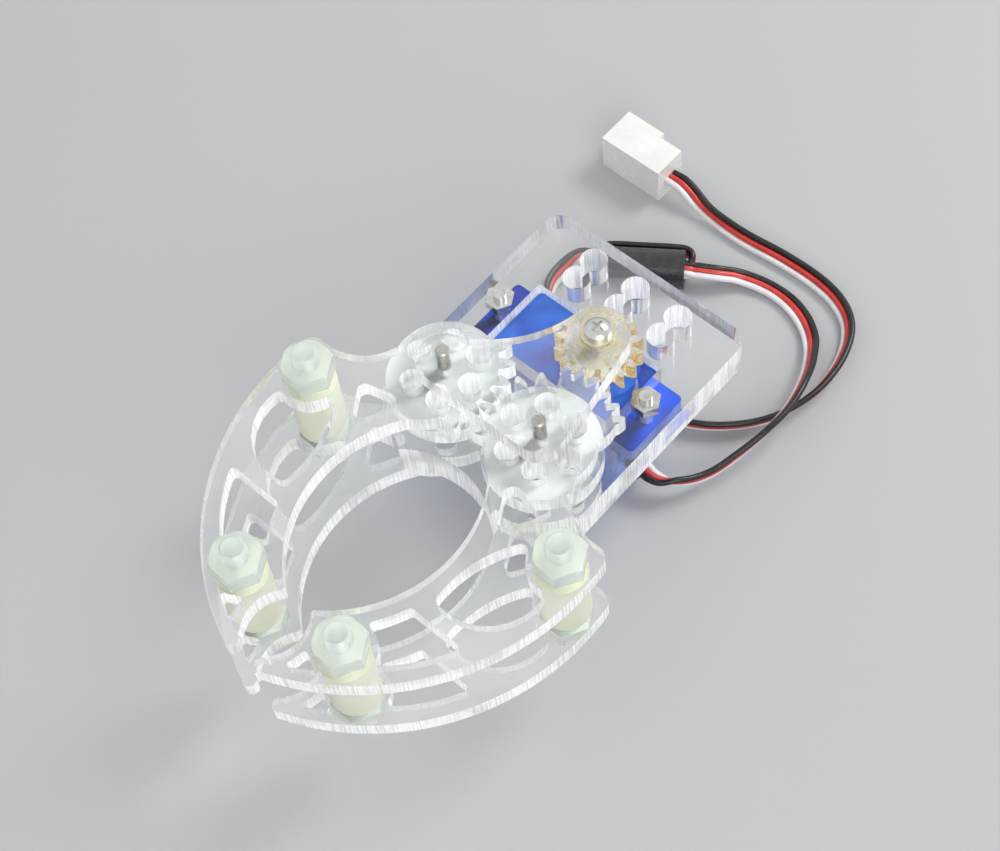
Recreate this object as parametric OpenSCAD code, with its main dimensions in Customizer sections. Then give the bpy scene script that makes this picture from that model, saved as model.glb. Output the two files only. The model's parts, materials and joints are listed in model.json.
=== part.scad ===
// Electric two finger gripper: clear sheet fingers geared together, driven by a micro servo
// through a small gear. Millimetres, +Z up, fingers toward -Y, origin under the middle.

/* [Sheet parts] */
// Thickness of the base plate
base_t = 6; // [5:0.5:7]
// Width of the base plate
base_w = 37; // [37:0.5:40]
// Thickness of the finger, link and spacer sheets
sheet_t = 3; // [2.5:0.1:3]
// Radius of the rear corners of the base plate
corner_r = 3; // [1:0.5:6]
// Radius of each hole in a figure-eight pair
eight_r = 2.15; // [1.6:0.05:2.3]
// Distance between the two holes of a pair
eight_pitch = 4; // [3:0.1:4.2]
// Distance between neighbouring pairs
eight_step = 8.1; // [7:0.1:10]

/* [Fingers] */
// Distance between the two pivot pins
pin_span = 18; // [17.5:0.1:18.5]
// Diameter of the pivot pins
pin_d = 2; // [1.8:0.1:2.4]
// Diameter of the six holes round each hub
ring_hole_d = 3.6; // [2:0.1:3.8]
// Diameter of the plastic finger bolts
bolt_d = 4; // [3:0.1:4.2]
// Outer diameter of the sleeves round the bolts
sleeve_d = 7.5; // [6:0.1:7.8]
// Width across the flats of the plastic nuts and bolt heads
nut_af = 7; // [6:0.1:7.4]

/* [Drive] */
// Teeth on the drive gear
drive_teeth = 16; // [16:1:16]
// Width across the flats of the servo nuts
small_nut_af = 4; // [3.6:0.1:4.5]
// Diameter of the servo mounting screws
small_bolt_d = 2; // [1.6:0.1:2.2]
// Diameter of the screw in the middle of the drive gear
centre_screw_d = 2; // [1.6:0.1:2.2]

/* [Servo] */
// Length of the servo case
servo_l = 22.8; // [22:0.1:23.4]
// Width of the servo case
servo_w = 12.2; // [11.8:0.1:12.6]
// Height of the servo case without the gear hump
servo_h = 22.7; // [22:0.1:23]
// From the case to the middle of a mounting screw
ear_inset = 2.6; // [2.4:0.1:2.8]
// From a mounting screw to the end of its ear
ear_margin = 2.1; // [1.8:0.1:2.4]

/* [Cord] */
// Width of the ribbon cord
cord_d = 3; // [2.8:0.1:3.4]
// Outer diameter of the ferrite core
core_d = 6.5; // [6:0.1:8]
// Length of the ferrite core
core_l = 13; // [11:0.5:14]

/* [Hidden] */
$fn = 72;
run_fit = 0.05;       // play on radius and faces of turning parts
layer_gap = 0.1;      // gap between layers that slide over each other
bolt_play = 0.1;      // play on radius of a bolt in its hole
eps = 0.01;

// heights
ear_z = 15.9;
ear_t = 2.5;
base_z = ear_z + ear_t;
base_top = base_z + base_t;
hub_washer_t = 1.5;
spacer_z = base_top + hub_washer_t + run_fit;
upper_z = spacer_z + sheet_t;
upper_top = upper_z + sheet_t;
link_z = upper_top + layer_gap;
link_top = link_z + sheet_t;
lower_top = base_z - 0.2;
lower_z = lower_top - sheet_t;
pin_top = link_top + 2;
pin_chamfer = 0.2;
nut_t = 3.2;
nut_bevel = 0.15;
bolt_tail = 2.4;

// plan
pivot_y = 7.7;
pin_x = pin_span/2;
hub_r = pin_x - 1;             // the finger teeth stand out of the hubs
ring_r = pin_x - 4;            // circle of the six holes
spacer_r = pin_x - 0.25;       // the two spacer discs nearly touch
lobe_x = pin_x - 0.1;
lobe_r = base_w/2 - lobe_x;    // lobes of the base plate, flush with its sides
base_rear = 42.7;
lobe_front = 0.5;     // the lobes stand this far ahead of the pins
base_flank = pivot_y - 3.4;
front_arc_r = 14;
front_arc_y = pivot_y - 8.1 - front_arc_r;
eight_y = 36.9;
pin_hole_d = pin_d + 2*run_fit;
bolt_hole_d = bolt_d + 2*bolt_play;
link_pad = 4;         // radius of the link plate round the pins
shaft_pad = 4.65;     // and round the drive shaft
link_hollow_r = 18.5;

// servo
servo_y = 24.4;
ear_screw_span = servo_l + 2*ear_inset;
ear_l = ear_screw_span + 2*ear_margin;
shaft_inset = 6;      // from the end of the case to the shaft
shaft_x = servo_l/2 - shaft_inset;
window_l = servo_l + 0.6;
window_w = servo_w + 0.2;
hump_d = servo_w - 0.4;
idler_hump_d = 5.4;
horn_d = 7.4;
spline_d = 4.7;
hump_top = servo_h + 4;
case_wall = 1.1;
cover_h = 7;
gear_floor = 16.8;
gear_roof = servo_h - 1;
post_x = servo_l/2 - 1.5;
post_y = servo_w/2 - 1.5;
post_d = 2.6;
case_head_d = 2.1;
case_head_t = 0.7;
case_screw_l = 11.2;
motor_d = 9.6;
motor_l = 13;
motor_z = 2.6;
motor_nose_d = 2;
motor_shaft_d = 0.8;
sensor_d = 8.4;
sensor_h = 6.9;
sensor_z = 6.6;
sensor_axle_d = 1.6;
idler_d = 1;
case_screw_d = 1.2;

// finger gear: two equal wheels that meet midway between the pins
finger_teeth = 18;
finger_module = pin_span/finger_teeth;
finger_tooth_step = 360/finger_teeth;
// drive gear and the tooth sector that it turns
sector_teeth = 2*drive_teeth;
drive_dist = norm([shaft_x - pin_x, servo_y - pivot_y]);
drive_module = 2*drive_dist/(drive_teeth + sector_teeth);
drive_step = 360/drive_teeth;
sector_step = 360/sector_teeth;
sector_first = 54.9;
sector_count = 6;
drive_dir = atan2(servo_y - pivot_y, shaft_x - pin_x);
// a tooth gap of the drive gear faces the sector tooth nearest the line of centres
sector_near = sector_first + 4*sector_step;
drive_phase = drive_dir + 180 + (drive_dir - sector_near)*sector_teeth/drive_teeth + drive_step/2;
pressure = 25;
mesh_play = 0.14;
train_play = 0.06;

// servo gear train: four equal stages
train_big = 26;
train_small = 10;
idler_x = 0;
train_module = 2*(shaft_x - idler_x)/(train_big + train_small);
motor_x = idler_x - (shaft_x - idler_x);
train_t = 0.9;
train_pitch = 1.15;

// finger outline, measured from its pivot
finger_out = 19.5;    // how far the outer arc stands out from the pivot
finger_in = 2.7;      // and the inner arc
outer_r = 39;
outer_c = [finger_out - outer_r, -13.7];
inner_r = 21.1;
inner_c = [finger_in - inner_r, -21.9];
bite_r = 6.1;
bite_inset = 7.67;    // the hollow at the tip, from the outer arc to its middle
bite_c = toward(outer_c, [-10.8, -43.8], outer_r - bite_inset);
rear_y = -7.7;
rear_c = [finger_out - 3.4, 0.9];
rear_r = 8.6;
heel_r = 2;
cusp_r = 0.5;
tip_r = 1;
tip_x = bite_c[0] + 4.7;
rear_inset = 4.8;     // from the outer edge to the rear bolt
front_inset = 5.1;    // and to the front bolt
rear_bolt = toward(outer_c, [14.7, -12.8], outer_r - rear_inset);
front_bolt = toward(outer_c, [0.75, -40.9], outer_r - front_inset);
rim = 2.5;            // left between an opening and the edge of the finger
slot_outer_r = 8.9;
slot_inner_r = 19.2;
slot_shift = [8.3, -5.8];
slot_r = 1;
bolt_ring_r = 4.8;

// cord route: the ribbon leaves the servo, enters the core, and goes on to the plug
core_p = [-10.7, 53.5, core_d/2];
core_turn = 35;
wind_w = 3;
wire_t = 1;
wind_over = 1.6;
lead_route = [[13, 24.4, 4.5], [15.5, 24.4, 4.4], [18.5, 26.5, 3.6], [20.8, 30.5, 2.8],
    [22.4, 35.5, 3.6], [23.6, 41, 5], [23.8, 46, 5.3], [22.8, 51, 5.2], [20.6, 56, 3.4],
    [17.3, 60.6, 1.9], [12.6, 63.4, 1.8], [7.2, 64.2, 1.8], [2, 62.8, 2.4]];
tail_route = [[-20.2, 45.4, 2.2], [-20.2, 41.7, 1.8], [-18, 38.2, 1.8], [-14.1, 36, 1.8],
    [-9, 35.2, 1.8], [-4, 34.7, 1.8], [1.5, 34.5, 1.8], [7, 34.7, 1.8], [12.4, 36, 1.8],
    [17.4, 39.4, 1.8], [21.4, 44.2, 1.8], [23.6, 49.8, 1.8], [24.2, 55.6, 1.8], [23.2, 61.4, 1.8],
    [20.8, 65.8, 1.8], [17, 68.4, 1.8], [12, 69.6, 1.8], [5, 69.7, 1.8], [-3, 69, 1.8],
    [-10, 69.2, 2], [-15.5, 70, 3.6], [-18.9, 70, 3.7]];
plug_p = [-18.9, 70, 0];

clear_sheet = [0.85, 0.9, 0.95, 0.45];
nylon = [0.92, 0.95, 0.93, 0.8];
cream = [0.93, 0.91, 0.78];
blue = [0.1, 0.25, 0.85, 0.7];
nickel = [0.75, 0.73, 0.68];
steel = [0.6, 0.6, 0.62];
black = [0.06, 0.06, 0.06];
white = [0.95, 0.95, 0.93];

// which piece to draw

// ---- helpers ----

// where two circles meet: s picks the side
function meet(a, ra, b, rb, s) =
    let (d = norm(b - a), k = (ra*ra - rb*rb + d*d)/(2*d), h = sqrt(ra*ra - k*k), u = (b - a)/d)
    a + k*u + s*h*[-u[1], u[0]];
function unit(v) = v/norm(v);
// point at distance r from c toward p
function toward(c, p, r) = c + r*unit(p - c);
function inv(a) = tan(a)*180/PI - a;

// half angle of a tooth at radius r
function half_tooth(m, z, play, r) =
    let (base_r = m*z/2*cos(pressure), rr = max(r, base_r))
    90/z - play/(2*m*z)*180/PI + inv(pressure) - inv(acos(base_r/rr));

// outline of one tooth turned by a: up one flank and down the other
flank_steps = 5;
function tooth_points(m, z, play, root, tip, a) = [for (s = [-1, 1], k = [0:flank_steps])
    let (f = s < 0 ? k : flank_steps - k, r = root + (tip - root)*f/flank_steps,
        b = a + s*half_tooth(m, z, play, r))
    r*[cos(b), sin(b)]];
module tooth(m, z, play, root, tip) polygon(tooth_points(m, z, play, root - 0.3, tip, 0));

// toothed wheel lying flat
module wheel(m, z, t, bore, play, addendum = 1) {
    difference() {
        linear_extrude(t) polygon([for (k = [0:z - 1])
            each tooth_points(m, z, play, m*(z/2 - 1.2), m*(z/2 + addendum), k*360/z)]);
        translate([0, 0, -1]) cylinder(d = bore, h = t + 2);
    }
}

// wedge of a disc between two angles, less than half a turn
module wedge(r, a0, a1) {
    intersection() {
        circle(r = r);
        polygon([[0, 0], 2*r*[cos(a0), sin(a0)], 2*r*[cos((a0 + a1)/2), sin((a0 + a1)/2)],
            2*r*[cos(a1), sin(a1)]]);
    }
}

module plate(z, t) translate([0, 0, z]) linear_extrude(t) children();
module hole(x, y, z, d, h) translate([x, y, z]) cylinder(d = d, h = h);
module hexagon(af, h) cylinder(d = af/cos(30), h = h, $fn = 6);
module rounded(r) offset(r = r, $fn = 24) offset(delta = -r) children();

module box(x0, x1, y0, y1, z0, z1)
    translate([x0, y0, z0]) cube([x1 - x0, y1 - y0, z1 - z0]);

// round-cornered block standing on z = 0
module block(l, w, h, r) {
    linear_extrude(h) union() {
        square([l - 2*r, w], center = true);
        square([l, w - 2*r], center = true);
        for (sx = [-1, 1], sy = [-1, 1]) translate([sx*(l/2 - r), sy*(w/2 - r)]) circle(r = r);
    }
}

// tube through a list of points
module tube(route, d, sides = 8) {
    n = len(route);
    rings = [for (i = [0:n - 1])
        let (along = unit(route[min(i + 1, n - 1)] - route[max(i - 1, 0)]),
            across = unit(cross(along, [0, 0, 1])), up = cross(across, along))
        for (k = [0:sides - 1]) route[i]
            + d/2*(cos(360*(k + 0.5)/sides)*across + sin(360*(k + 0.5)/sides)*up)];
    walls = [for (i = [0:n - 2], k = [0:sides - 1]) let (a = i*sides + k, b = i*sides + (k + 1)%sides)
        [a, b, b + sides, a + sides]];
    polyhedron(rings, concat([[for (k = [sides - 1:-1:0]) k]], walls,
        [[for (k = [0:sides - 1]) (n - 1)*sides + k]]), convexity = 6);
}

// ---- plates ----

module base_plate() color(clear_sheet) difference() {
    plate(base_z, base_t) difference() {
        union() {
            translate([-base_w/2, base_flank])
                square([base_w, base_rear - base_flank - corner_r]);
            translate([-base_w/2 + corner_r, base_flank])
                square([base_w - 2*corner_r, base_rear - base_flank]);
            for (s = [-1, 1]) {
                translate([s*(base_w/2 - corner_r), base_rear - corner_r]) circle(r = corner_r);
                translate([s*lobe_x, pivot_y - lobe_front]) circle(r = lobe_r);
            }
            translate([0, base_flank - 6]) square([2*lobe_x, 16], center = true);
        }
        translate([0, front_arc_y]) circle(r = front_arc_r);
        translate([0, servo_y]) square([window_l, window_w], center = true);
    }
    for (k = [-1:1], s = [-1, 1])
        hole(k*eight_step, eight_y + s*eight_pitch/2, base_z - 1, 2*eight_r, base_t + 2);
    for (s = [-1, 1]) {
        hole(s*pin_x, pivot_y, base_z - 1, pin_d, base_t + 2);
        hole(s*ear_screw_span/2, servo_y, base_z - 1, small_bolt_d + 2*run_fit, base_t + 2);
    }
}

module link_plate() color(clear_sheet) {
    left = [-pin_x, pivot_y];
    right = [pin_x, pivot_y];
    shaft = [shaft_x, servo_y];
    // hollow left side: an arc that runs smoothly into two of the pads
    hollow = meet(left, link_pad + link_hollow_r, shaft, shaft_pad + link_hollow_r, 1);
    // straight right side, tangent to two pads
    across = shaft - right;
    side_dir = atan2(across[1], across[0]) - acos((link_pad - shaft_pad)/norm(across));
    side = [cos(side_dir), sin(side_dir)];
    difference() {
        plate(link_z, sheet_t) union() {
            for (p = [left, right]) translate(p) circle(r = link_pad);
            translate(shaft) circle(r = shaft_pad);
            difference() {
                polygon([left - [0, link_pad], right - [0, link_pad], right + link_pad*side,
                    shaft + shaft_pad*side, toward(shaft, hollow, shaft_pad),
                    toward(left, hollow, link_pad)]);
                translate(hollow) circle(r = link_hollow_r);
            }
        }
        for (p = [left, right]) hole(p[0], p[1], link_z - 1, pin_d, sheet_t + 2);
        hole(shaft[0], shaft[1], link_z - 1, centre_screw_d + 2*run_fit, sheet_t + 2);
    }
}

module pivot_pin() color(steel) rotate_extrude()
    polygon([[0, lower_z - 0.2], [pin_d/2 - pin_chamfer, lower_z - 0.2],
        [pin_d/2, lower_z - 0.2 + pin_chamfer], [pin_d/2, pin_top - pin_chamfer],
        [pin_d/2 - pin_chamfer, pin_top], [0, pin_top]]);
module left_pivot_pin() translate([-pin_x, pivot_y, 0]) pivot_pin();
module right_pivot_pin() translate([pin_x, pivot_y, 0]) pivot_pin();

module hub_washer(s) color(clear_sheet) translate([s*pin_x, pivot_y, base_top]) difference() {
    cylinder(r = 3.5, h = hub_washer_t);
    hole(0, 0, -1, pin_d, hub_washer_t + 2);
}
module left_hub_washer() hub_washer(-1);
module right_hub_washer() hub_washer(1);

module spacer_disc(s) color(clear_sheet) translate([s*pin_x, pivot_y, spacer_z]) difference() {
    cylinder(r = spacer_r, h = sheet_t);
    hole(0, 0, -1, pin_hole_d, sheet_t + 2);
    for (k = [0:5]) rotate(60*k) hole(ring_r, 0, -1, ring_hole_d, sheet_t + 2);
}
module left_spacer_disc() spacer_disc(-1);
module right_spacer_disc() spacer_disc(1);

// ---- fingers, drawn for the right side about the pivot ----

// curved finger from the neck to the tip
module crescent() {
    heel = [outer_c[0] + sqrt(pow(outer_r - heel_r, 2) - pow(rear_y - heel_r - outer_c[1], 2)),
        rear_y - heel_r];
    cusp = meet(inner_c, inner_r + cusp_r, bite_c, bite_r + cusp_r, 1);
    cusp_end = meet(inner_c, inner_r, bite_c, bite_r, 1);
    tip = [tip_x, outer_c[1] - sqrt(pow(outer_r - tip_r, 2) - pow(tip_x - outer_c[0], 2))];
    difference() {
        intersection() {
            translate(outer_c) circle(r = outer_r, $fn = 180);
            polygon([[0, 0], [rear_c[0], 0], [rear_c[0], rear_y], [outer_r, rear_y],
                [outer_r, -60], [tip_x, -60], bite_c + [4.7, -2.2], bite_c + [1.8, 1.8],
                [-9, -20], [-1.2, -9.5]]);
        }
        translate(inner_c) circle(r = inner_r, $fn = 144);
        translate(bite_c) circle(r = bite_r);
        translate(rear_c) circle(r = rear_r);
        polygon([heel, heel + [0, heel_r], heel + 2*[heel_r, heel_r],
            toward(outer_c, heel, outer_r)]);
        polygon([cusp, toward(inner_c, cusp, inner_r), cusp_end + 2*(cusp_end - cusp),
            toward(bite_c, cusp, bite_r)]);
    }
    translate(heel) circle(r = heel_r);
    translate(cusp) circle(r = cusp_r);
    translate(tip) circle(r = tip_r);
    polygon([[-4.6, -6.55], [-3.8, -7.6], [-2.6, -8.6], [-1.2, -9.5], [-0.2, -11.1], [6, -12],
        [7, -3], [0, 0]]);
}

// openings through the finger
module finger_slots() {
    rounded(slot_r) difference() {
        intersection() {
            translate(toward(outer_c, [7.6, -19.3], outer_r - rim - slot_outer_r))
                circle(r = slot_outer_r);
            translate(toward(inner_c, [24.2, -25.2], inner_r + rim + slot_inner_r))
                circle(r = slot_inner_r, $fn = 144);
            translate([0, -28]) square(30);
        }
        translate(rear_bolt) circle(r = bolt_ring_r);
    }
    rounded(slot_r*0.6) difference() {
        intersection() {
            translate(outer_c + slot_shift)
                circle(r = outer_r - rim - norm(slot_shift), $fn = 144);
            translate([-2, -41]) square([22, 10.5]);
        }
        translate(inner_c) circle(r = inner_r + rim, $fn = 144);
        translate(front_bolt) circle(r = bolt_ring_r);
    }
    rounded(slot_r*0.4) difference() {
        translate(front_bolt) polygon([[-0.35, -4.3], [-4.45, -6.7], [-3.85, -3.1]]);
        translate(front_bolt) circle(r = bolt_ring_r - 0.4);
    }
    rounded(slot_r) polygon([[2.4, -7.7], [8.3, -9.2], [4.5, -14.8], [1.3, -9]]);
}

module finger_plate(z, open_slots = true) {
    difference() {
        plate(z, sheet_t) union() {
            circle(r = hub_r);
            crescent();
        }
        if (open_slots) plate(z - 1, sheet_t + 2) finger_slots();
        hub_holes(z);
        for (p = [rear_bolt, front_bolt]) hole(p[0], p[1], z - 1, bolt_hole_d, sheet_t + 2);
    }
}

module hub_holes(z) {
    hole(0, 0, z - 1, pin_hole_d, sheet_t + 2);
    for (k = [0:5]) rotate(60*k) hole(ring_r, 0, z - 1, ring_hole_d, sheet_t + 2);
}

// gullets between the finger teeth, first to last tooth angle
module gullets(a0, a1) difference() {
    wedge(hub_r + 1, a0, a1);
    circle(r = finger_module*(finger_teeth/2 - 1.2));
}
module finger_tooth(a) rotate(a) tooth(finger_module, finger_teeth, mesh_play,
    finger_module*(finger_teeth/2 - 1.2), finger_module*(finger_teeth/2 + 1));

module right_upper_raw() {
    lobe_r_in = drive_module*(sector_teeth/2 - 1.2);
    a_end = sector_first + (sector_count - 1)*sector_step;
    difference() {
        finger_plate(upper_z);
        plate(upper_z - 1, sheet_t + 2) gullets(107, 217);
        hub_holes(upper_z);
    }
    difference() {
        plate(upper_z, sheet_t) union() {
            for (k = [0:4]) finger_tooth(130 + k*finger_tooth_step);
            wedge(lobe_r_in, sector_first - 4, a_end + 3);
            polygon([[0, 0], 8.3*[cos(36), sin(36)], 9.6*[cos(44), sin(44)],
                lobe_r_in*[cos(sector_first - 4), sin(sector_first - 4)]]);
            for (k = [0:sector_count - 1]) rotate(sector_first + k*sector_step)
                tooth(drive_module, sector_teeth, mesh_play, lobe_r_in,
                    drive_module*(sector_teeth/2 + 1));
        }
        hub_holes(upper_z);
    }
}

module left_upper_raw() {
    difference() {
        finger_plate(upper_z);
        plate(upper_z - 1, sheet_t + 2) mirror([1, 0]) gullets(-48, 68);
        hub_holes(upper_z);
    }
    difference() {
        plate(upper_z, sheet_t) mirror([1, 0]) for (k = [-2:3]) finger_tooth(k*finger_tooth_step);
        hub_holes(upper_z);
    }
}

module on_right() translate([pin_x, pivot_y, 0]) children();
module on_left() translate([-pin_x, pivot_y, 0]) mirror([1, 0, 0]) children();

module right_finger_upper_plate() color(clear_sheet) on_right() right_upper_raw();
module left_finger_upper_plate() color(clear_sheet) on_left() left_upper_raw();
module right_finger_lower_plate() color(clear_sheet) on_right() finger_plate(lower_z);
module left_finger_lower_plate() color(clear_sheet) on_left() finger_plate(lower_z);

module finger_bolts() color(nylon) for (p = [rear_bolt, front_bolt]) translate([p[0], p[1], 0]) {
    translate([0, 0, lower_z - nut_t]) hexagon(nut_af, nut_t);
    translate([0, 0, lower_z - eps]) cylinder(d = bolt_d, h = upper_top + nut_t - lower_z + bolt_tail);
}
module left_finger_bolts() on_left() finger_bolts();
module right_finger_bolts() on_right() finger_bolts();

module finger_nuts() color(nylon) for (p = [rear_bolt, front_bolt])
    translate([p[0], p[1], upper_top]) difference() {
        intersection() {
            hexagon(nut_af, nut_t);
            cylinder(r1 = nut_af/2 + nut_bevel + nut_t*0.65, r2 = nut_af/2 + nut_bevel, h = nut_t);
        }
        hole(0, 0, -1, bolt_d, nut_t + 2);
    }
module left_finger_nuts() on_left() finger_nuts();
module right_finger_nuts() on_right() finger_nuts();

module finger_sleeves() color(cream) for (p = [rear_bolt, front_bolt])
    translate([p[0], p[1], lower_top]) difference() {
        cylinder(d = sleeve_d, h = upper_z - lower_top);
        hole(0, 0, -1, bolt_d + 2*bolt_play, upper_z - lower_top + 2);
    }
module left_finger_sleeves() on_left() finger_sleeves();
module right_finger_sleeves() on_right() finger_sleeves();

// ---- drive gear and its fastening ----

horn_z = hump_top + 0.2;
module on_shaft() translate([shaft_x, servo_y, 0]) children();

module drive_gear() color([0.85, 0.72, 0.35, 0.8]) on_shaft() translate([0, 0, upper_z])
    rotate(drive_phase) wheel(drive_module, drive_teeth, sheet_t, centre_screw_d, mesh_play);

module servo_horn() color(white) on_shaft() difference() {
    translate([0, 0, horn_z]) cylinder(d = horn_d, h = upper_z - horn_z);
    translate([0, 0, horn_z - 1]) cylinder(d = spline_d, h = upper_z - horn_z);
    translate([0, 0, horn_z]) cylinder(d = centre_screw_d, h = 4);
}

washer_z = link_top + run_fit;
washer_t = 0.6;
screw_head_h = 1.5;
module drive_washer() color(nickel) on_shaft() translate([0, 0, washer_z]) difference() {
    cylinder(d = 5.2, h = washer_t);
    hole(0, 0, -1, centre_screw_d, washer_t + 2);
}

// pan head with a cross recess
module cross_head(d, h) difference() {
    intersection() {
        cylinder(d = d, h = h);
        translate([0, 0, h - d*0.72]) sphere(d = d*1.44);
    }
    for (a = [0, 90]) rotate(a) translate([-d*0.27, -d*0.06, h*0.5]) cube([d*0.54, d*0.12, h]);
}
module drive_screw() color(nickel) on_shaft() {
    translate([0, 0, washer_z + washer_t]) cross_head(3.9, screw_head_h);
    translate([0, 0, base_top]) cylinder(d = centre_screw_d, h = washer_z + washer_t - base_top + eps);
}

// ---- servo ----

module case_holes(z, h) for (sx = [-1, 1], sy = [-1, 1])
    hole(sx*post_x, sy*post_y, z, case_screw_d, h);
// space inside the case walls, leaving a post at each corner
module cavity(z0, z1) difference() {
    box(-servo_l/2 + case_wall, servo_l/2 - case_wall, -servo_w/2 + case_wall,
        servo_w/2 - case_wall, z0, z1);
    for (sx = [-1, 1], sy = [-1, 1]) hole(sx*post_x, sy*post_y, z0 - 1, post_d, z1 - z0 + 2);
}

module servo_case_bottom() color(blue) translate([0, servo_y, 0]) difference() {
    block(servo_l, servo_w, cover_h, 0.8);
    cavity(case_wall, cover_h + 1);
    case_holes(-1, cover_h + 2);
    for (sx = [-1, 1], sy = [-1, 1]) hole(sx*post_x, sy*post_y, -1,
        case_head_d + 2*run_fit, case_head_t + 1.2);
    translate([servo_l/2 - 2, 0, 4.5]) rotate([0, 90, 0]) cylinder(d = 3.4, h = 4);
}

module servo_case_middle() color(blue) translate([0, servo_y, 0]) difference() {
    union() {
        translate([0, 0, cover_h]) block(servo_l, servo_w, ear_z - cover_h, 0.8);
        difference() {
            box(-servo_l/2 + case_wall, servo_l/2 - case_wall, -servo_w/2 + case_wall,
                servo_w/2 - case_wall, ear_z - eps, gear_floor);
            for (sx = [-1, 1], sy = [-1, 1]) hole(sx*post_x, sy*post_y, ear_z - 1, post_d, 3);
        }
    }
    hole(motor_x, 0, cover_h - 1, motor_d, motor_z + motor_l - cover_h + 1);
    hole(motor_x, 0, motor_z + motor_l - 1, motor_nose_d, 4);
    hole(shaft_x, 0, cover_h - 1, sensor_d, sensor_z + sensor_h - cover_h + 1);
    hole(shaft_x, 0, sensor_z + sensor_h - 1, sensor_axle_d + 0.4, 5);
    hole(idler_x, 0, gear_floor - 2, idler_d, 4);
    case_holes(cover_h - 1, 6);
}

module servo_case_top() color(blue) translate([0, servo_y, 0]) difference() {
    union() {
        translate([0, 0, ear_z]) block(servo_l, servo_w, servo_h - ear_z, 0.8);
        translate([0, 0, ear_z]) block(ear_l, servo_w - 0.4, ear_t, 0.8);
        translate([shaft_x, 0, servo_h - eps]) cylinder(d = hump_d, h = hump_top - servo_h + eps);
        translate([idler_x, 0, servo_h - eps])
            cylinder(d = idler_hump_d, h = hump_top - servo_h + eps);
    }
    cavity(ear_z - 1, gear_roof);
    hole(shaft_x, 0, gear_roof - 1, 4.2, 8);
    hole(idler_x, 0, gear_roof - 1, idler_d, 1.6);
    for (s = [-1, 1]) hole(s*ear_screw_span/2, 0, ear_z - 1, small_bolt_d + 2*run_fit, ear_t + 2);
}

module servo_case_screws() color(steel) translate([0, servo_y, 0])
    for (sx = [-1, 1], sy = [-1, 1]) {
        hole(sx*post_x, sy*post_y, 0.1, case_head_d, case_head_t + 0.1);
        hole(sx*post_x, sy*post_y, case_head_t + 0.1, case_screw_d, case_screw_l);
    }

module servo_mount_screws() color(nickel) for (s = [-1, 1])
    translate([s*ear_screw_span/2, servo_y, 0]) {
        translate([0, 0, ear_z]) mirror([0, 0, 1]) cross_head(3.8, 1.3);
        translate([0, 0, ear_z - eps]) cylinder(d = small_bolt_d, h = base_top + 2.7 - ear_z);
    }
module servo_mount_nuts() color(nickel) for (s = [-1, 1])
    translate([s*ear_screw_span/2, servo_y, base_top]) difference() {
        hexagon(small_nut_af, 1.6);
        hole(0, 0, -1, small_bolt_d, 4);
    }

module servo_motor() color(steel) translate([motor_x, servo_y, motor_z]) difference() {
    union() {
        cylinder(d = motor_d, h = motor_l);
        translate([0, 0, motor_l - eps]) cylinder(d = motor_nose_d, h = 0.7);
    }
    hole(0, 0, motor_l/3, motor_shaft_d + 2*run_fit, motor_l);
}

function stage_z(k) = gear_floor + 0.1 + k*train_pitch;
// gear with a large wheel at one level and a small one on top of it
module double_gear(k, bore, turn) translate([0, 0, stage_z(k)]) rotate(turn) {
    wheel(train_module, train_big, train_t, bore, train_play, 0.85);
    translate([0, 0, train_t - eps])
        wheel(train_module, train_small, train_pitch + eps, bore, train_play, 0.85);
}
// turn of a small wheel whose gap faces the nearest tooth of a large one, seen along dir
function mesh_turn(turn, dir) =
    let (step = 360/train_big, off = turn + round((dir - turn)/step)*step - dir)
    dir + 180 - off*train_big/train_small + 180/train_small;
turn_3 = mesh_turn(0, 180);
turn_2 = mesh_turn(turn_3, 0);
turn_1 = mesh_turn(turn_2, 180);
turn_0 = mesh_turn(turn_1, 180);
module motor_pinion() color(nickel) translate([motor_x, servo_y, 0]) union() {
    translate([0, 0, stage_z(0)]) rotate(turn_0)
        wheel(train_module, train_small, train_t, motor_shaft_d - 0.1, train_play, 0.85);
    translate([0, 0, motor_z + motor_l/2])
        cylinder(d = motor_shaft_d, h = stage_z(0) + train_t - motor_z - motor_l/2);
}
module reduction_gear_1() color(white) translate([idler_x, servo_y, 0])
    double_gear(0, idler_d + 2*run_fit, turn_1);
module reduction_gear_2() color(white) on_shaft()
    double_gear(1, sensor_axle_d + 2*run_fit, turn_2);
module reduction_gear_3() color(white) translate([idler_x, servo_y, 0])
    double_gear(2, idler_d + 2*run_fit, turn_3);
module idler_axle() color(steel)
    hole(idler_x, servo_y, gear_floor - 2, idler_d, gear_roof - gear_floor + 2.6);

module output_shaft() color(white) on_shaft() difference() {
    union() {
        translate([0, 0, stage_z(3)]) wheel(train_module, train_big, train_t, 1, train_play, 0.85);
        translate([0, 0, stage_z(3)]) cylinder(d = 4.1, h = horn_z - stage_z(3));
        translate([0, 0, horn_z - eps]) cylinder(d = spline_d, h = upper_z - horn_z - 1 + eps);
        translate([0, 0, sensor_z + sensor_h/3])
            cylinder(d = sensor_axle_d, h = stage_z(3) - sensor_z - sensor_h/3 + eps);
    }
    translate([0, 0, base_top]) cylinder(d = centre_screw_d, h = 9);
}

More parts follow.
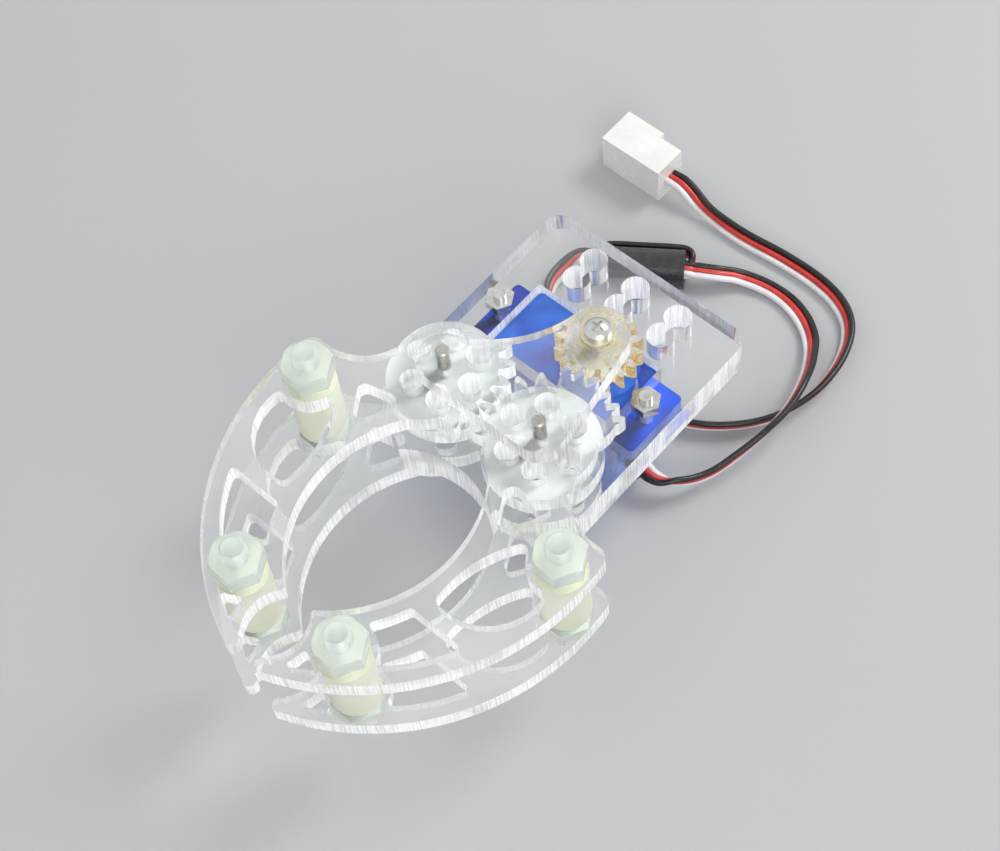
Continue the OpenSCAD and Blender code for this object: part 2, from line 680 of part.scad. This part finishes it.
module position_sensor() color([0.15, 0.35, 0.2]) translate([shaft_x, servo_y, sensor_z]) difference() {
    cylinder(d = sensor_d, h = sensor_h);
    hole(0, 0, sensor_h/4, sensor_axle_d + 2*run_fit, sensor_h);
}
module control_board() color([0.05, 0.35, 0.15]) translate([0, servo_y, 0])
    box(2.4 - post_x, post_x - 2.4, -post_y, post_y, case_wall, case_wall + 0.8);
module cord_grommet() color(black) translate([servo_l/2, servo_y, 4.5]) rotate([0, 90, 0]) {
    translate([0, 0, -case_wall - 0.5]) cylinder(d = 3.4, h = case_wall + 1);
    cylinder(d = 4.4, h = 1.6);
}

// ---- cord ----

// end faces of the winding, where the cord runs on
core_along = [cos(core_turn), sin(core_turn), 0];
wind_end = core_l/2 + wind_over;
module on_core() translate(core_p) rotate(core_turn) children();

module servo_cord() color(black) tube(concat(lead_route, [core_p + (wind_end + 4)*core_along,
    core_p + wind_end*core_along]), cord_d);
module plug_cord() color(black) tube(concat([core_p - wind_end*core_along,
    core_p - (wind_end + 2.4)*core_along], tail_route), cord_d);

// the ribbon lies flat through the core twice; its second turn runs back on edge along one side
module cord_winding() color([0.5, 0.05, 0.05]) on_core() {
    box(-wind_end, wind_end, -wind_w/2, wind_w/2, -wire_t, wire_t);
    translate([0, 0, -wind_w/2]) linear_extrude(wind_w) difference() {
        union() {
            translate([-wind_end, 0]) square([2*wind_end, core_d/2 + wire_t - wind_over]);
            translate([-core_l/2, 0]) square([core_l, core_d/2 + wire_t]);
            for (s = [-1, 1]) translate([s*core_l/2, core_d/2 + wire_t - wind_over])
                circle(r = wind_over);
        }
        translate([-core_l/2, -1]) square([core_l, core_d/2 + 1]);
    }
}

module ferrite_core() color(black) on_core() rotate([0, 90, 0]) translate([0, 0, -core_l/2])
    difference() {
        cylinder(d = core_d, h = core_l);
        hole(0, 0, -1, 4.3, core_l + 2);
    }

module plug_housing() color(white) translate(plug_p) difference() {
    union() {
        box(-4.5, 0, -3, 3, 0, 7.4);
        box(-12, -4.5 + eps, -3, 4, 0, 7.4);
    }
    for (k = [-1:1]) box(-13, -1.2, k*1.9 - 0.7, k*1.9 + 0.7, 3, 4.4);
}
module plug_terminals() color(nickel) translate(plug_p)
    for (k = [-1:1]) box(-10, -1.2, k*1.9 - 0.6, k*1.9 + 0.6, 3, 4.2);

base_plate();
link_plate();
left_pivot_pin();
right_pivot_pin();
left_hub_washer();
right_hub_washer();
left_spacer_disc();
right_spacer_disc();
left_finger_upper_plate();
right_finger_upper_plate();
left_finger_lower_plate();
right_finger_lower_plate();
left_finger_bolts();
right_finger_bolts();
left_finger_nuts();
right_finger_nuts();
left_finger_sleeves();
right_finger_sleeves();
drive_gear();
servo_horn();
drive_washer();
drive_screw();
servo_case_top();
servo_case_middle();
servo_case_bottom();
servo_case_screws();
servo_mount_screws();
servo_mount_nuts();
servo_motor();
motor_pinion();
reduction_gear_1();
reduction_gear_2();
reduction_gear_3();
idler_axle();
output_shaft();
position_sensor();
control_board();
cord_grommet();
servo_cord();
cord_winding();
ferrite_core();
plug_cord();
plug_housing();
plug_terminals();
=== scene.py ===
"""Looks of the electric two finger gripper: clear sheet parts, nylon bolts, blue servo, ribbon cord."""
import json
import math

import bpy
from mathutils import Matrix, Vector


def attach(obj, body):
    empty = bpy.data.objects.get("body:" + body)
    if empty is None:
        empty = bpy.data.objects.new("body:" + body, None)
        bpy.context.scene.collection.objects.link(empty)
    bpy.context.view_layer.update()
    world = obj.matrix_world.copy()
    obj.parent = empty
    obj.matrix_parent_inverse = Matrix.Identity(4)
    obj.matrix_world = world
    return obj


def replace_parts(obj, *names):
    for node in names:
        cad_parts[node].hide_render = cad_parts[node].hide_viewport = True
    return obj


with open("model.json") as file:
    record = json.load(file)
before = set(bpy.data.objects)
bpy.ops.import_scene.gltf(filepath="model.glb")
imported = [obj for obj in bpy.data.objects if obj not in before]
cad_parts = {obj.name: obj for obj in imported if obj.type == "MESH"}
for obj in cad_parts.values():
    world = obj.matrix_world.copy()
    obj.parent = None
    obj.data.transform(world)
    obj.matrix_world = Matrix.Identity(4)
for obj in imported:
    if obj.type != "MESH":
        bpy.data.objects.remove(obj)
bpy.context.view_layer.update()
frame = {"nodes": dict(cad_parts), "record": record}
NODES = frame["nodes"]
MM = 0.001

# heights and places shared with the part's source, in millimetres
LOWER_Z = 15.2
UPPER_TOP = 31.95
NUT_T = 3.2
BOLT_TAIL = 2.4
BOLT_D = 4.0
HEAD_AF = 7.0
PIVOT = (9.0, 7.7)
REAR_BOLT = (14.69, -12.8)
FRONT_BOLT = (0.74, -40.89)
CORD_W = 3.0
WIRE_D = CORD_W / 3
CORE_P = (-10.7, 53.5, 3.25)
CORE_TURN = math.radians(35)
CORE_R, CORE_L = 3.25, 13.0
WIND_END = CORE_L / 2 + 1.6
LEAD_ROUTE = [(13, 24.4, 4.5), (15.5, 24.4, 4.4), (18.5, 26.5, 3.6), (20.8, 30.5, 2.8),
              (22.4, 35.5, 3.6), (23.6, 41, 5), (23.8, 46, 5.3), (22.8, 51, 5.2), (20.6, 56, 3.4),
              (17.3, 60.6, 1.9), (12.6, 63.4, 1.8), (7.2, 64.2, 1.8), (2, 62.8, 2.4)]
TAIL_ROUTE = [(-20.2, 45.4, 2.2), (-20.2, 41.7, 1.8), (-18, 38.2, 1.8), (-14.1, 36, 1.8),
              (-9, 35.2, 1.8), (-4, 34.7, 1.8), (1.5, 34.5, 1.8), (7, 34.7, 1.8), (12.4, 36, 1.8),
              (17.4, 39.4, 1.8), (21.4, 44.2, 1.8), (23.6, 49.8, 1.8), (24.2, 55.6, 1.8),
              (23.2, 61.4, 1.8), (20.8, 65.8, 1.8), (17, 68.4, 1.8), (12, 69.6, 1.8), (5, 69.7, 1.8),
              (-3, 69, 1.8), (-10, 69.2, 2), (-15.5, 70, 3.6), (-18.9, 70, 3.7)]

# the ribbon's wires in order across it, slightly fused along their sides
WIRES = ("wire_black", "wire_red", "wire_white")
WIRE_SIDES = 12
WIRE_STEP = 0.97 * WIRE_D
# degrees from flat, 90 being on edge, at each point of the ribbon's route
LEAD_TWISTS = [0, 20, 75, 80, 80, 70, 65, 60, 50, 30, 10, 0, 0, 0, 0]
TAIL_TWISTS = [0, 0, 30, 60, 80, 80, 80, 80, 80, 80, 78, 75,
               72, 68, 62, 58, 52, 45, 38, 35, 45, 60, 20, 0]

# bolt thread, in millimetres; its flat is a share of half a pitch, and its steps go round once
THREAD_PITCH = 0.7
THREAD_DEPTH = 0.61 * THREAD_PITCH
THREAD_FLAT = 0.12
THREAD_STEPS = 24
THREAD_TIP = 0.3


# ---- camera ----

def place_camera():
    """Camera that looks down on the gripper from in front and to the right, rolled a little."""
    azimuth, elevation, roll = math.radians(48.89), math.radians(59.71), math.radians(-8.49)
    target = Vector((-0.08, 8.56, 24.4)) * MM
    distance = 0.3001
    back = Vector((math.sin(azimuth) * math.cos(elevation),
                   -math.cos(azimuth) * math.cos(elevation), math.sin(elevation)))
    level_right = Vector((math.cos(azimuth), math.sin(azimuth), 0))
    level_up = back.cross(level_right)
    right = math.cos(roll) * level_right + math.sin(roll) * level_up
    up = math.cos(roll) * level_up - math.sin(roll) * level_right
    data = bpy.data.cameras.new("camera")
    data.lens, data.sensor_width = 75.17, 36
    data.clip_start, data.clip_end = 0.01, 20
    camera = bpy.data.objects.new("camera", data)
    bpy.context.scene.collection.objects.link(camera)
    turn = Matrix((right, up, back)).transposed().to_4x4()
    camera.matrix_world = Matrix.Translation(target + distance * back) @ turn
    bpy.context.scene.camera = camera


place_camera()


# ---- shader maths ----

class Value:
    """A socket in a material or world, with Python's operators."""

    def __init__(self, maker, socket):
        self.maker, self.socket = maker, socket

    def _math(self, operation, a, b=None, clamp=False):
        values = {0: a} if b is None else {0: a, 1: b}
        return self.maker.add("ShaderNodeMath", {"operation": operation, "use_clamp": clamp}, values)

    def __add__(self, other):
        return self._math("ADD", self, other)

    def __sub__(self, other):
        return self._math("SUBTRACT", self, other)

    def __rsub__(self, other):
        return self._math("SUBTRACT", other, self)

    def __mul__(self, other):
        return self._math("MULTIPLY", self, other)

    __radd__, __rmul__ = __add__, __mul__

    def clamped(self):
        return self._math("ADD", self, 0.0, clamp=True)

    def size(self):
        return self._math("ABSOLUTE", self)


class Maker:
    """Builds the nodes of one material or world."""

    def __init__(self, owner):
        owner.use_nodes = True
        self.owner = owner
        self.tree = owner.node_tree
        self.tree.nodes.clear()

    def add(self, kind, settings=None, values=None, out=0):
        node = self.tree.nodes.new(kind)
        for key, value in (settings or {}).items():
            if key == "stops":
                ramp = node.color_ramp
                while len(ramp.elements) < len(value):
                    ramp.elements.new(0.5)
                for element, (place, colour) in zip(ramp.elements, value):
                    element.position, element.color = place, (*colour, 1)
            else:
                setattr(node, key, value)
        for key, value in (values or {}).items():
            if isinstance(value, Value):
                self.tree.links.new(value.socket, node.inputs[key])
            else:
                node.inputs[key].default_value = value
        return Value(self, node.outputs[out]) if node.outputs else None

    def ray(self, kind):
        """1 for rays of that kind, such as Is Camera Ray."""
        return self.add("ShaderNodeLightPath", out=kind)

    def facing(self):
        """Height part of the surface direction: 1 on flat faces, 0 on upright ones."""
        normal = self.add("ShaderNodeNewGeometry", out="Normal")
        return self.add("ShaderNodeSeparateXYZ", values={0: normal}, out="Z").size()

    def inside(self):
        """1 where the surface is seen from inside its solid."""
        return self.add("ShaderNodeNewGeometry", out="Backfacing")

    def noise(self, scale, detail=3.0, stretch=(1, 1, 1), rough=0.5):
        spot = self.add("ShaderNodeTexCoord", out="Object")
        spot = self.add("ShaderNodeMapping", values={0: spot, "Scale": stretch})
        return self.add("ShaderNodeTexNoise", values={"Vector": spot, "Scale": scale,
                                                      "Detail": detail, "Roughness": rough})

    def ramp(self, factor, *stops):
        return self.add("ShaderNodeValToRGB", {"stops": stops}, {0: factor})

    def level(self, factor, low, high, start=0.0, end=1.0):
        """factor from start..end mapped to low..high."""
        return self.add("ShaderNodeMapRange", values={0: factor, 1: start, 2: end, 3: low, 4: high})

    def bump(self, height, strength):
        return self.add("ShaderNodeBump", values={"Height": height, "Strength": strength,
                                                  "Distance": 0.1 * MM})

    def surface(self, **sockets):
        names = {key.replace("_", " "): value for key, value in sockets.items()}
        return self.add("ShaderNodeBsdfPrincipled", values=names)

    def mix(self, factor, a, b):
        return self.add("ShaderNodeMixShader", values={0: factor, 1: a, 2: b})

    def lets_light(self, shader, factor, first, last):
        """Lets lamplight through, tinted first at factor 0 and last at factor 1."""
        tint = self.ramp(factor, (0.0, first), (1.0, last))
        clear = self.add("ShaderNodeBsdfTransparent", values={0: tint})
        return self.mix(self.ray("Is Shadow Ray"), shader, clear)

    def done(self, shader, output="ShaderNodeOutputMaterial"):
        self.add(output, values={"Surface": shader})
        return self.owner


def new_material(name):
    return Maker(bpy.data.materials.new(name))


def cut_edge(m):
    """1 on upright faces, which are where a sheet is cut, and 0 on its flat ones."""
    return m.level(m.facing(), 1.0, 0.0, 0.3, 0.8)


def clear_sheet(name, painted_sheen):
    """Clear cast sheet: polished faces under a thin whitish layer of painted sheen, and streaky cut edges
    that are frosted white with a faint painted glow.
    """
    m = new_material(name)
    streaks = m.noise(3200, 3, (1, 1, 0.04))
    faint = m.noise(160, 2)
    face = m.surface(Base_Color=(0.99, 0.995, 0.993, 1), Roughness=m.level(faint, 0.0, 0.03, 0.4, 0.7),
                     IOR=1.49, Transmission_Weight=1.0)
    # a whitish rough layer mixed over the faces: painted sheen, standing in for the reflection of a soft
    # lamp
    painted_sheen_layer = m.surface(Base_Color=(0.965, 0.975, 0.97, 1), Roughness=0.25, IOR=1.49,
                     Transmission_Weight=0.25)
    face = m.mix(m.level(faint, painted_sheen * 0.6, painted_sheen * 1.4, 0.35, 0.65), face, painted_sheen_layer)
    # cut edges are frosted white and also carry a faint white emission: a painted glow where light would
    # pipe out of the sheet
    cut = m.surface(Base_Color=m.ramp(streaks, (0.3, (0.96, 0.98, 0.975)), (0.6, (1.0, 1.0, 1.0))),
                    Roughness=0.15, IOR=1.49, Transmission_Weight=0.1, Emission_Color=(1, 1, 1, 1),
                    Emission_Strength=0.12)
    edge = cut_edge(m)
    grain = m.level(streaks, 0.65, 0.95, 0.38, 0.58) * m.level(m.noise(110, 2), 0.55, 1.0, 0.4, 0.55)
    # an edge shows its frosted white and its painted glow from outside, and looks nearly clear from inside
    # the sheet
    bright = (edge * grain * (1 - m.inside() * 0.72)).clamped()
    return m.done(m.lets_light(m.mix(bright, face, cut), edge, (0.96, 0.97, 0.97), (0.63, 0.65, 0.65)))


def hazy_gear():
    """Clear sheet with amber specks, deeper amber at the teeth."""
    m = new_material("drive_gear")
    blotch = m.noise(1100, 5, rough=0.6)
    fine = m.noise(2200, 3)
    tint = m.ramp(blotch + cut_edge(m) * 0.1, (0.42, (0.96, 0.96, 0.95)), (0.54, (0.95, 0.88, 0.66)),
                  (0.66, (0.9, 0.64, 0.18)))
    solid = m.surface(Base_Color=tint, Roughness=m.level(fine, 0.12, 0.3, 0.3, 0.7), IOR=1.49,
                      Transmission_Weight=0.7, Normal=m.bump(fine, 0.04))
    return m.done(m.lets_light(solid, m.facing(), (0.86, 0.82, 0.68), (0.9, 0.87, 0.77)))


def moulded(name, dark, light, scale, rough, see_through=0.0, soft=0.0, coat=0.0, passes=None):
    """Moulded plastic. passes tints the lamplight that gets through each wall."""
    m = new_material(name)
    cloud = m.noise(scale, 3)
    solid = m.surface(Base_Color=m.ramp(cloud, (0.3, dark), (0.7, light)),
                      Roughness=m.level(m.noise(scale * 4, 2), rough * 0.8, rough * 1.25, 0.3, 0.7),
                      Transmission_Weight=see_through, Subsurface_Weight=soft,
                      Subsurface_Scale=0.002, Coat_Weight=coat, Coat_Roughness=0.1)
    return m.done(m.lets_light(solid, cloud, passes, passes) if passes else solid)


def metal(name, dark, light, scale, rough):
    """Metal with a fine grain between a dark and a light tone."""
    m = new_material(name)
    grain = m.noise(scale, 4)
    return m.done(m.surface(Base_Color=m.ramp(grain, (0.3, dark), (0.7, light)), Metallic=1.0,
                            Roughness=m.level(grain, rough * 0.75, rough * 1.35, 0.3, 0.7),
                            Normal=m.bump(grain, 0.06)))


FINISH = {
    # every sheet gets a whitish layer of painted sheen, and the fingers and discs get more of it than the
    # base plate
    "clear_acrylic": clear_sheet("clear_acrylic", painted_sheen=0.04),
    "acrylic_more_painted_sheen": clear_sheet("acrylic_more_painted_sheen", painted_sheen=0.1),
    "drive_gear": hazy_gear(),
    "nylon": moulded("nylon", (0.88, 0.93, 0.88), (0.96, 1.0, 0.96), 120, 0.1,
                     see_through=0.66, soft=0.12, coat=0.3, passes=(0.73, 0.75, 0.73)),
    "sleeve": moulded("sleeve", (0.73, 0.74, 0.58), (0.8, 0.81, 0.66), 300, 0.4,
                      soft=0.1, passes=(0.6, 0.6, 0.55)),
    # blue case whose tone varies in random patches; the lightest patches are painted sheen, standing in for
    # reflections on the case
    "servo_blue": moulded("servo_blue", (0.0, 0.03, 0.4), (0.06, 0.28, 0.98), 110, 0.1,
                          see_through=0.4, coat=0.5, passes=(0.3, 0.42, 0.8)),
    "nickel": metal("nickel", (0.56, 0.56, 0.53), (0.74, 0.74, 0.71), 900, 0.18),
    "washer": metal("washer", (0.66, 0.61, 0.45), (0.78, 0.73, 0.57), 900, 0.26),
    "steel": metal("steel", (0.42, 0.41, 0.37), (0.58, 0.56, 0.52), 700, 0.3),
    "white_plastic": moulded("white_plastic", (0.82, 0.82, 0.8), (0.92, 0.92, 0.9), 300, 0.4),
    "board": moulded("board", (0.02, 0.14, 0.05), (0.04, 0.22, 0.09), 500, 0.35, coat=0.3),
    "rubber": moulded("rubber", (0.015, 0.015, 0.015), (0.035, 0.035, 0.035), 600, 0.6),
    "ferrite": moulded("ferrite", (0.012, 0.012, 0.013), (0.03, 0.03, 0.031), 700, 0.22, coat=0.3),
    "plug": moulded("plug", (0.77, 0.77, 0.73), (0.85, 0.85, 0.82), 200, 0.24, soft=0.1, coat=0.3),
    "wire_black": moulded("wire_black", (0.006, 0.005, 0.005), (0.02, 0.017, 0.017), 500, 0.3),
    "wire_red": moulded("wire_red", (0.5, 0.02, 0.015), (0.68, 0.045, 0.03), 500, 0.35, coat=0.3),
    "wire_white": moulded("wire_white", (0.7, 0.68, 0.68), (0.82, 0.8, 0.8), 500, 0.35, coat=0.3),
}


def finish_for(node_name, slot):
    """The fingers and discs get more painted sheen than the base plate, and the washer is yellower than the
    nuts.
    """
    if node_name == "drive_washer":
        return "washer"
    if "finger" in node_name or "spacer" in node_name:
        return slot.replace("clear_acrylic", "acrylic_more_painted_sheen")
    return slot


for entry in frame["record"]["subparts"]:
    finish = finish_for(entry["node"], entry["material_slot"])
    if finish in FINISH:
        materials = NODES[entry["node"]].data.materials
        materials.clear()
        materials.append(FINISH[finish])


# ---- mesh helpers, in millimetres ----

def piece(name, verts, faces, finishes, body, which=None, sharp_from=30):
    """One visible piece on a body. which gives each face's place in finishes."""
    mesh = bpy.data.meshes.new(name)
    mesh.from_pydata([Vector(v) * MM for v in verts], [], faces)
    for finish in finishes:
        mesh.materials.append(FINISH[finish])
    if which:
        mesh.polygons.foreach_set("material_index", which)
    mesh.validate()
    mesh.update()
    obj = bpy.data.objects.new(name, mesh)
    bpy.context.scene.collection.objects.link(obj)
    mesh.shade_smooth()
    mesh.set_sharp_from_angle(angle=math.radians(sharp_from))
    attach(obj, body)
    return obj


def curve_points(route, step=0.8):
    """Smooth line through the route, sampled about every step millimetres."""
    points = [Vector(p) for p in route]
    ends = [2 * points[0] - points[1], *points, 2 * points[-1] - points[-2]]
    line = []
    for a, b, c, d in zip(ends, ends[1:], ends[2:], ends[3:]):
        count = max(2, round((c - b).length / step))
        for i in range(count):
            t = i / count
            line.append(0.5 * (2 * b + (c - a) * t + (2 * a - 5 * b + 4 * c - d) * t * t
                               + (3 * b - a - 3 * c + d) * t ** 3))
    line.append(points[-1])
    return line


def length_of(line):
    """Length along the line through its points."""
    return sum((b - a).length for a, b in zip(line, line[1:]))


def three_wires(line, section, wire_d):
    """The ribbon's wires along a line. section(i, along) gives its middle and its direction across."""
    verts, faces, which = [], [], []
    for wire, place in enumerate((1, 0, -1)):
        start = len(verts)
        for i in range(len(line)):
            along = (line[min(i + 1, len(line) - 1)] - line[max(i - 1, 0)]).normalized()
            middle, across = section(i, along)
            centre, up = middle + place * WIRE_STEP * across, along.cross(across)
            for k in range(WIRE_SIDES):
                angle = 2 * math.pi * k / WIRE_SIDES
                verts.append(centre + wire_d / 2 * (math.cos(angle) * across + math.sin(angle) * up))
        for i in range(len(line) - 1):
            for k in range(WIRE_SIDES):
                a, b = start + i * WIRE_SIDES + k, start + i * WIRE_SIDES + (k + 1) % WIRE_SIDES
                faces.append((a, b, b + WIRE_SIDES, a + WIRE_SIDES))
                which.append(wire)
        faces.append([start + k for k in range(WIRE_SIDES)][::-1])
        faces.append([start + (len(line) - 1) * WIRE_SIDES + k for k in range(WIRE_SIDES)])
        which += [wire, wire]
    return verts, faces, which


def twist_at(route, twists, share):
    """Radians that the ribbon is turned from flat at a share of its route, eased between its points."""
    lengths = [0.0]
    for a, b in zip(route, route[1:]):
        lengths.append(lengths[-1] + (Vector(b) - Vector(a)).length)
    far = share * lengths[-1]
    j = next((j for j in range(len(route) - 1) if far <= lengths[j + 1]), len(route) - 2)
    t = min(1, max(0, (far - lengths[j]) / (lengths[j + 1] - lengths[j])))
    t = t * t * (3 - 2 * t)
    return math.radians(twists[j] * (1 - t) + twists[j + 1] * t)


def ribbon(name, route, twists):
    """Ribbon along a route. Where it lies flat it drops towards the table, except at its two ends."""
    line = curve_points(route)
    on_edge_rise = CORD_W / 2 - WIRE_D / 2
    # shares of the route at each end: one that never drops, one over which the drop grows
    stub, easing = 0.02, 0.12

    def section(i, along):
        share = i / (len(line) - 1)
        twist = twist_at(route, twists, share)
        right = along.cross(Vector((0, 0, 1))).normalized()
        up = right.cross(along)
        across = math.cos(twist) * right + math.sin(twist) * up
        drop = 0
        if stub < share < 1 - stub:
            drop = on_edge_rise * (1 - abs(math.sin(twist)))
            drop *= min(1, share / easing, (1 - share) / easing)
        return line[i] - Vector((0, 0, drop)), across

    verts, faces, which = three_wires(line, section, WIRE_D)
    return piece(name, verts, faces, WIRES, "gripper_frame", which, sharp_from=60), line


def on_core(x, y, z):
    """A place measured from the core's middle, x along it."""
    c, s = math.cos(CORE_TURN), math.sin(CORE_TURN)
    return (CORE_P[0] + c * x - s * y, CORE_P[1] + s * x + c * y, CORE_P[2] + z)


def wound_ribbon():
    """The ribbon's second turn: flat through the core and back on edge along its far side."""
    half = CORE_L / 2
    side = CORE_R + WIRE_D / 2
    on_edge = 1.57
    # x, y and z from the core's middle, then radians that the ribbon is turned from flat
    loop = [(WIND_END, 0, 0, 0), (half, 0, 0.5, 0), (0, 0, 0.56, 0), (-half, 0.2, 0.5, 0.2),
            (-WIND_END + 0.7, 1.2, 0.3, 1.1), (-WIND_END + 0.5, 2.4, 0, on_edge),
            (-half - 0.2, side - 0.3, 0, on_edge), (-half + 2, side, 0, on_edge),
            (0, side, 0, on_edge), (half - 2, side, 0, on_edge),
            (half + 0.2, side - 0.3, 0, on_edge), (WIND_END - 0.5, 2.4, 0, on_edge),
            (WIND_END - 0.7, 1.2, -0.4, 1.1), (half, 0.2, -0.5, 0.2), (0, 0, -0.56, 0),
            (-half, 0, -0.5, 0), (-WIND_END, 0, 0, 0)]
    line = curve_points(loop, 0.4)
    spots, tilts = [p.xyz for p in line], [p.w for p in line]

    def section(i, along):
        across = Vector((0, math.cos(tilts[i]), math.sin(tilts[i])))
        return spots[i], (across - across.dot(along) * along).normalized()

    verts, faces, which = three_wires(spots, section, WIRE_D * 0.96)
    verts = [on_core(*v) for v in verts]
    return piece("wound_ribbon", verts, faces, WIRES, "gripper_frame", which, sharp_from=60)


# ---- cords first ----

lead_route = LEAD_ROUTE + [on_core(WIND_END + 4, 0, 0), on_core(WIND_END, 0, 0)]
tail_route = [on_core(-WIND_END, 0, 0), on_core(-WIND_END - 2.4, 0, 0)] + TAIL_ROUTE
servo_ribbon, lead_line = ribbon("servo_ribbon", lead_route, LEAD_TWISTS)
plug_ribbon, tail_line = ribbon("plug_ribbon", tail_route, TAIL_TWISTS)
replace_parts(servo_ribbon, "servo_cord")
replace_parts(plug_ribbon, "plug_cord")
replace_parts(wound_ribbon(), "cord_winding")
length_of(lead_line) * MM
[tuple(p * MM) for p in lead_line]
length_of(tail_line) * MM
[tuple(p * MM) for p in tail_line]


# ---- nylon bolts ----

def threaded_rod(centre, z0, z1):
    """Bolt thread as one closed surface with a chamfered tip at z1."""
    verts, faces = [], []
    rings = round((z1 - z0) / (THREAD_PITCH / 6))
    core_r = BOLT_D / 2 - THREAD_DEPTH
    for i in range(rings + 1):
        z = z0 + (z1 - z0) * i / rings
        for k in range(THREAD_STEPS):
            phase = ((z - z0) / THREAD_PITCH - k / THREAD_STEPS) % 1.0
            # 0 on the crest and 1 in the root, with a narrow flat on both
            fall = max(0.0, min(1.0, (abs(2 * phase - 1) - THREAD_FLAT) / (1 - 2 * THREAD_FLAT)))
            r = BOLT_D / 2 - THREAD_DEPTH * fall
            if z1 - z < THREAD_TIP:
                r = min(r, core_r + (z1 - z) * THREAD_DEPTH / THREAD_TIP)
            a = 2 * math.pi * k / THREAD_STEPS
            verts.append((centre[0] + r * math.cos(a), centre[1] + r * math.sin(a), z))
    for i in range(rings):
        for k in range(THREAD_STEPS):
            a, b = i * THREAD_STEPS + k, i * THREAD_STEPS + (k + 1) % THREAD_STEPS
            faces.append((a, b, b + THREAD_STEPS, a + THREAD_STEPS))
    faces.append(list(range(THREAD_STEPS))[::-1])
    faces.append([rings * THREAD_STEPS + k for k in range(THREAD_STEPS)])
    return verts, faces


def bolt_head(centre, z0, z1, side_steps=12):
    """Hexagonal head whose lower corners are turned off at an angle."""
    steps = 6 * side_steps
    flat = HEAD_AF / 2
    corner = flat / math.cos(math.pi / 6)
    uncut = corner + 1
    face_r = flat * 0.96
    slope = 0.55
    drop = (corner - flat * 0.98) * slope
    # height, and the radius at which the corners are turned off there
    levels = [(z0, face_r), (z0 + drop * 0.5, (face_r + corner) / 2), (z0 + drop, uncut), (z1, uncut)]
    verts, faces = [], []
    for z, cut in levels:
        for k in range(steps):
            a = 2 * math.pi * k / steps
            r = min(flat / math.cos(a % (math.pi / 3) - math.pi / 6), cut)
            verts.append((centre[0] + r * math.cos(a), centre[1] + r * math.sin(a), z))
    for i in range(len(levels) - 1):
        for k in range(steps):
            a, b = i * steps + k, i * steps + (k + 1) % steps
            faces.append((a, b, b + steps, a + steps))
    faces.append(list(range(steps))[::-1])
    faces.append([(len(levels) - 1) * steps + k for k in range(steps)])
    return verts, faces


def joined(parts):
    """Several solids as the points and faces of one mesh."""
    verts, faces = [], []
    for v, f in parts:
        start = len(verts)
        verts += v
        faces += [[start + i for i in face] for face in f]
    return verts, faces


def finger_bolts(side, word):
    """Both bolts of one finger. side is 1 on the right and -1 on the left."""
    solids = []
    for x, y in (REAR_BOLT, FRONT_BOLT):
        place = (side * (PIVOT[0] + x), PIVOT[1] + y)
        solids.append(bolt_head(place, LOWER_Z - NUT_T, LOWER_Z))
        # the rod starts just inside its head
        solids.append(threaded_rod(place, LOWER_Z - 0.01, UPPER_TOP + NUT_T + BOLT_TAIL))
    verts, faces = joined(solids)
    bolts = piece(f"{word}_threaded_bolts", verts, faces, ["nylon"], f"{word}_finger")
    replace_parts(bolts, f"{word}_finger_bolts")


finger_bolts(1, "right")
finger_bolts(-1, "left")


# ---- floor, light ----

def pale_floor():
    """Plain floor just under the part."""
    mesh = bpy.data.meshes.new("floor")
    half = 3.0
    mesh.from_pydata([(-half, -half, 0), (half, -half, 0), (half, half, 0), (-half, half, 0)], [],
                     [(0, 1, 2, 3)])
    floor = bpy.data.objects.new("floor", mesh)
    floor.location.z = -0.02 * MM
    bpy.context.scene.collection.objects.link(floor)
    m = new_material("floor")
    cloud = m.noise(6, 2)
    mesh.materials.append(m.done(m.surface(
        Base_Color=m.ramp(cloud, (0.3, (0.455, 0.46, 0.465)), (0.7, (0.475, 0.48, 0.485))), Roughness=0.7)))


def lamp(name, size, power, place, aim=(0, 0.01, 0.02)):
    """Round soft lamp at a place, turned to its aim, in metres and watts."""
    data = bpy.data.lights.new(name, "AREA")
    data.shape, data.size, data.energy = "DISK", size, power
    obj = bpy.data.objects.new(name, data)
    bpy.context.scene.collection.objects.link(obj)
    obj.location = place
    obj.rotation_euler = (Vector(aim) - Vector(place)).to_track_quat("-Z", "Y").to_euler()


def pale_world():
    """Soft light for the object, and a pale background for every ray that sees past it."""
    world = bpy.data.worlds.new("studio")
    bpy.context.scene.world = world
    m = Maker(world)
    seen = (m.ray("Is Camera Ray") + m.ray("Is Glossy Ray") + m.ray("Is Transmission Ray")).clamped()
    light = m.add("ShaderNodeBackground", values={"Color": (0.96, 0.98, 1.0, 1), "Strength": 0.7})
    shown = m.add("ShaderNodeBackground", values={"Color": (0.86, 0.87, 0.88, 1), "Strength": 1.0})
    m.done(m.mix(seen, light, shown), "ShaderNodeOutputWorld")


pale_floor()
pale_world()
lamp("key", size=0.35, power=3.0, place=(0.15, 0.55, 0.6))
lamp("fill", size=0.6, power=2.2, place=(0.55, -0.3, 0.5))
scene = bpy.context.scene
scene.view_settings.view_transform = "Standard"
# light passes through many sheets on its way
scene.cycles.max_bounces = 40
scene.cycles.transmission_bounces = 36
scene.cycles.transparent_max_bounces = 40
